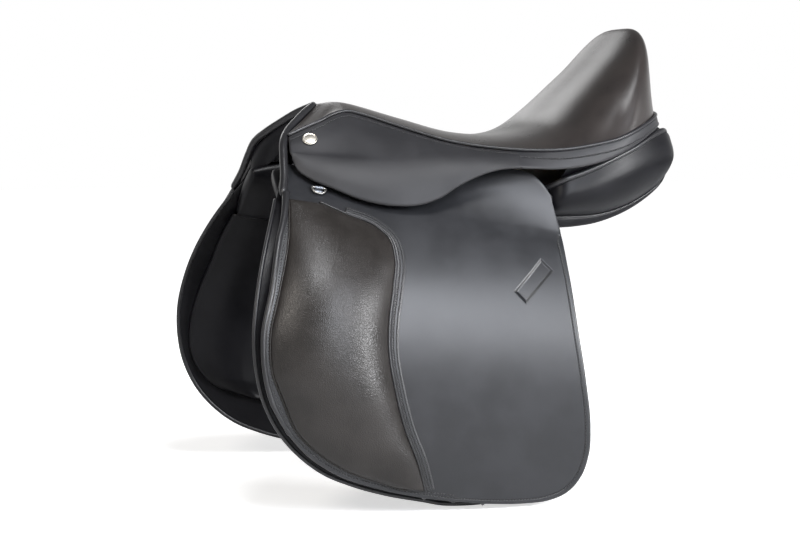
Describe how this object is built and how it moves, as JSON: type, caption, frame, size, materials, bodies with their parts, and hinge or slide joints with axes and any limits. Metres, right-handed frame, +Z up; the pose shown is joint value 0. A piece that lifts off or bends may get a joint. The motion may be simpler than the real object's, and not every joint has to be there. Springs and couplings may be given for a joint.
{
  "type": "all-purpose saddle",
  "caption": "All-purpose English saddle with lifting flaps and skirts, knee pads, girth straps, stirrup bars, D rings and a laminated tree with steel springs.",
  "frame": {"origin": "on the symmetry plane at the seat's deepest point along X, level with the panels' lower outer edges there", "axes": "+X towards the cantle, -Y the near (left) side, +Z up"},
  "size_m": [0.518, 0.427, 0.5061],
  "materials": {
    "black_leather": "smooth dyed leather, satin",
    "blued_steel": "plain steel",
    "bright_nickel": "bright nickel plate",
    "brown_black_leather": "pebble-grained padded leather",
    "foam": "open-cell foam",
    "laminated_wood": "laminated beech",
    "lining_leather": "matt lining leather",
    "soft_black_leather": "soft grained leather",
    "strap_leather": "waxed strap leather",
    "webbing": "woven webbing"
  },
  "bodies": {
    "saddle": {"bar_plate_left": "blued_steel", "bar_plate_right": "blued_steel", "cantle_plate": "blued_steel", "catch_pin_left": "blued_steel", "catch_pin_right": "blued_steel", "flap_head_left": "black_leather", "flap_head_right": "black_leather", "front_panel_left": "soft_black_leather", "front_panel_right": "soft_black_leather", "girth_web_left": "webbing", "girth_web_right": "webbing", "gullet_lining": "lining_leather", "head_binding": "black_leather", "head_plate": "blued_steel", "panel_left": "soft_black_leather", "panel_right": "soft_black_leather", "rear_facing_left": "black_leather", "rear_facing_right": "black_leather", "rear_gusset_left": "soft_black_leather", "rear_gusset_right": "soft_black_leather", "ring_keeper_left": "blued_steel", "ring_keeper_right": "blued_steel", "seat_cover": "brown_black_leather", "seat_foam": "foam", "seat_welt": "black_leather", "skirt_band_left": "black_leather", "skirt_band_right": "black_leather", "spring_rail_left": "blued_steel", "spring_rail_right": "blued_steel", "stirrup_bar_left": "blued_steel", "stirrup_bar_right": "blued_steel", "stud_left": "bright_nickel", "stud_right": "bright_nickel", "sweat_flap_left": "soft_black_leather", "sweat_flap_right": "soft_black_leather", "tree_frame": "laminated_wood", "web_cross": "webbing", "web_fore_aft": "webbing"},
    "flap_left": {"flap_left": "black_leather", "knee_pad_left": "brown_black_leather", "pad_band_left": "black_leather"},
    "skirt_body_left": {"skirt_left": "black_leather"},
    "catch_left": {"safety_catch_left": "blued_steel"},
    "ring_left": {"d_ring_left": "bright_nickel"},
    "strap_front_left": {"girth_strap_front_left": "strap_leather"},
    "strap_middle_left": {"girth_strap_middle_left": "strap_leather"},
    "strap_rear_left": {"girth_strap_rear_left": "strap_leather"},
    "guard_left": {"buckle_guard_left": "black_leather"},
    "flap_right": {"flap_right": "black_leather", "knee_pad_right": "brown_black_leather", "pad_band_right": "black_leather"},
    "skirt_body_right": {"skirt_right": "black_leather"},
    "catch_right": {"safety_catch_right": "blued_steel"},
    "ring_right": {"d_ring_right": "bright_nickel"},
    "strap_front_right": {"girth_strap_front_right": "strap_leather"},
    "strap_middle_right": {"girth_strap_middle_right": "strap_leather"},
    "strap_rear_right": {"girth_strap_rear_right": "strap_leather"},
    "guard_right": {"buckle_guard_right": "black_leather"}
  },
  "joints": [
    {"name": "flap_lift_left", "type": "hinge", "parent": "saddle", "child": "flap_left", "pos_m": [-0.25, -0.104, 0.0385], "axis": [-0.982, 0.1178, 0.1473], "range_deg": [0, 55]},
    {"name": "skirt_lift_left", "type": "hinge", "parent": "saddle", "child": "skirt_body_left", "pos_m": [-0.234, -0.072, 0.083], "axis": [-0.9718, 0.2349, 0.0202], "range_deg": [0, 75]},
    {"name": "catch_turn_left", "type": "hinge", "parent": "saddle", "child": "catch_left", "pos_m": [-0.11602, -0.10313, 0.05038], "axis": [0, -0.7828, 0.6222], "range_deg": [0, 70]},
    {"name": "ring_swing_left", "type": "hinge", "parent": "saddle", "child": "ring_left", "pos_m": [-0.212, -0.09859, 0.0443], "axis": [-0.9776, 0.151, 0.1466], "range_deg": [0, 45]},
    {"name": "strap_swing_front_left", "type": "hinge", "parent": "saddle", "child": "strap_front_left", "pos_m": [-0.097, -0.10327, 0.02355], "axis": [0.0011, 0.9508, -0.3098], "range_deg": [-3, 3]},
    {"name": "strap_swing_middle_left", "type": "hinge", "parent": "saddle", "child": "strap_middle_left", "pos_m": [-0.055, -0.10931, 0.01725], "axis": [0.0032, 0.9548, -0.2971], "range_deg": [-3, 3]},
    {"name": "strap_swing_rear_left", "type": "hinge", "parent": "saddle", "child": "strap_rear_left", "pos_m": [-0.013, -0.11536, 0.01095], "axis": [0.0053, 0.9587, -0.2842], "range_deg": [-3, 3]},
    {"name": "guard_slide_left", "type": "hinge", "parent": "strap_middle_left", "child": "guard_left", "pos_m": [-0.055, 0.1532, -0.19771], "axis": [0.9877, -0.0494, -0.1482], "range_deg": [-1, 1.5]},
    {"name": "flap_lift_right", "type": "hinge", "parent": "saddle", "child": "flap_right", "pos_m": [-0.25, 0.104, 0.0385], "axis": [0.982, 0.1178, -0.1473], "range_deg": [0, 55]},
    {"name": "skirt_lift_right", "type": "hinge", "parent": "saddle", "child": "skirt_body_right", "pos_m": [-0.234, 0.072, 0.083], "axis": [0.9718, 0.2349, -0.0202], "range_deg": [0, 75]},
    {"name": "catch_turn_right", "type": "hinge", "parent": "saddle", "child": "catch_right", "pos_m": [-0.11602, 0.10313, 0.05038], "axis": [0, -0.7828, -0.6222], "range_deg": [0, 70]},
    {"name": "ring_swing_right", "type": "hinge", "parent": "saddle", "child": "ring_right", "pos_m": [-0.212, 0.09859, 0.0443], "axis": [0.9776, 0.151, -0.1466], "range_deg": [0, 45]},
    {"name": "strap_swing_front_right", "type": "hinge", "parent": "saddle", "child": "strap_front_right", "pos_m": [-0.097, 0.10327, 0.02355], "axis": [0.0011, -0.9508, -0.3098], "range_deg": [-3, 3]},
    {"name": "strap_swing_middle_right", "type": "hinge", "parent": "saddle", "child": "strap_middle_right", "pos_m": [-0.055, 0.10931, 0.01725], "axis": [0.0032, -0.9548, -0.2971], "range_deg": [-3, 3]},
    {"name": "strap_swing_rear_right", "type": "hinge", "parent": "saddle", "child": "strap_rear_right", "pos_m": [-0.013, 0.11536, 0.01095], "axis": [0.0053, -0.9587, -0.2842], "range_deg": [-3, 3]},
    {"name": "guard_slide_right", "type": "hinge", "parent": "strap_middle_right", "child": "guard_right", "pos_m": [-0.055, -0.1532, -0.19771], "axis": [-0.9877, -0.0494, 0.1482], "range_deg": [-1, 1.5]}
  ],
  "couplings": [
    {"joint": "strap_swing_front_left", "follows": "strap_swing_middle_left", "ratio": 1},
    {"joint": "strap_swing_rear_left", "follows": "strap_swing_middle_left", "ratio": 1},
    {"joint": "strap_swing_front_right", "follows": "strap_swing_middle_right", "ratio": 1},
    {"joint": "strap_swing_rear_right", "follows": "strap_swing_middle_right", "ratio": 1}
  ]
}
